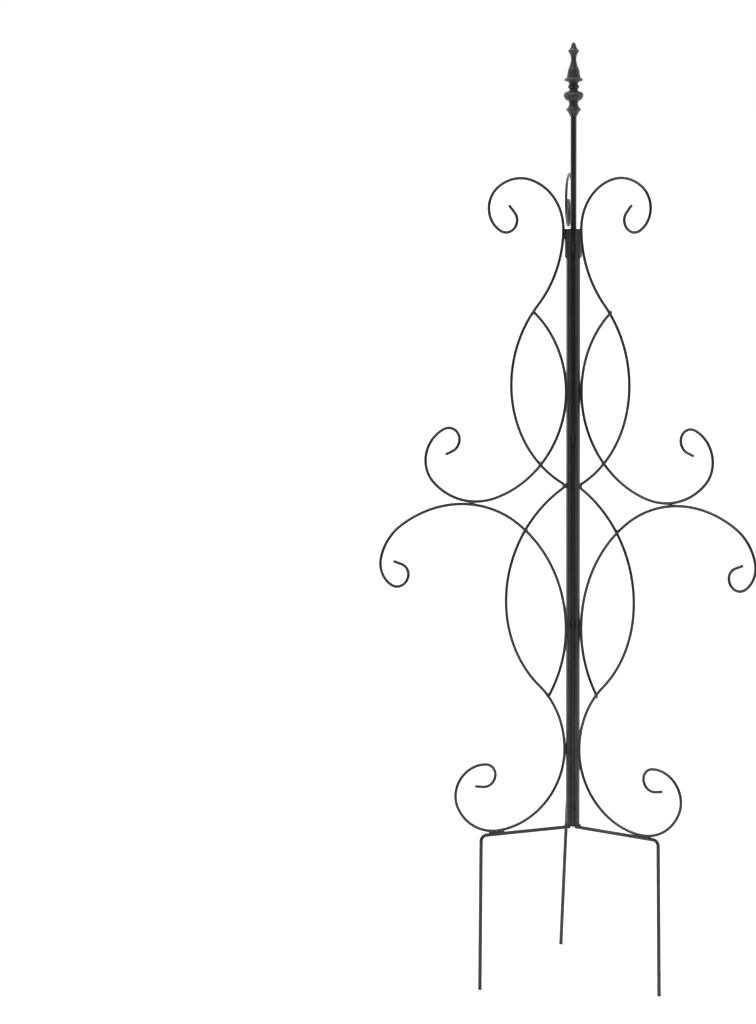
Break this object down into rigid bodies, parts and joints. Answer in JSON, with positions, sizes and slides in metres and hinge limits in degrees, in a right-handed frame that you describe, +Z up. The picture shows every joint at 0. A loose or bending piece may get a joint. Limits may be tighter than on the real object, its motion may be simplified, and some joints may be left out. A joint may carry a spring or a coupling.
{
  "type": "garden trellis",
  "caption": "Three-sided welded wire trellis tower: flat scroll panels round a post with a cast finial, on ground spikes.",
  "frame": {"origin": "on the centre post's axis, at ground level, where the three spike tips stand", "axes": "+Z up along the centre post; the two front panels stand at -150 and -30 degrees from +X, so -Y is the front between them; the back panel stands at 95.3 degrees"},
  "size_m": [0.5827, 0.5058, 1.511],
  "materials": {
    "wire": "satin powder coat",
    "round_bar": "satin powder coat",
    "square_bar": "satin powder coat",
    "weld": "satin powder coat over weld",
    "casting": "painted cast iron",
    "screw": "black oxide"
  },
  "bodies": {
    "root": {"upright_left": "square_bar", "top_spacer_left": "square_bar", "crown_scroll_left": "wire", "upper_scroll_left": "wire", "middle_scroll_left": "wire", "base_scroll_left": "wire", "leg_left": "round_bar", "upright_welds_left": "weld", "crossing_welds_left": "weld", "upright_right": "square_bar", "top_spacer_right": "square_bar", "crown_scroll_right": "wire", "upper_scroll_right": "wire", "middle_scroll_right": "wire", "base_scroll_right": "wire", "leg_right": "round_bar", "upright_welds_right": "weld", "crossing_welds_right": "weld", "upright_back": "square_bar", "top_spacer_back": "square_bar", "crown_scroll_back": "wire", "upper_scroll_back": "wire", "middle_scroll_back": "wire", "base_scroll_back": "wire", "leg_back": "round_bar", "upright_welds_back": "weld", "crossing_welds_back": "weld", "centre_post": "round_bar", "post_welds": "weld", "finial": "casting", "finial_grub_screw": "screw"}
  },
  "joints": []
}
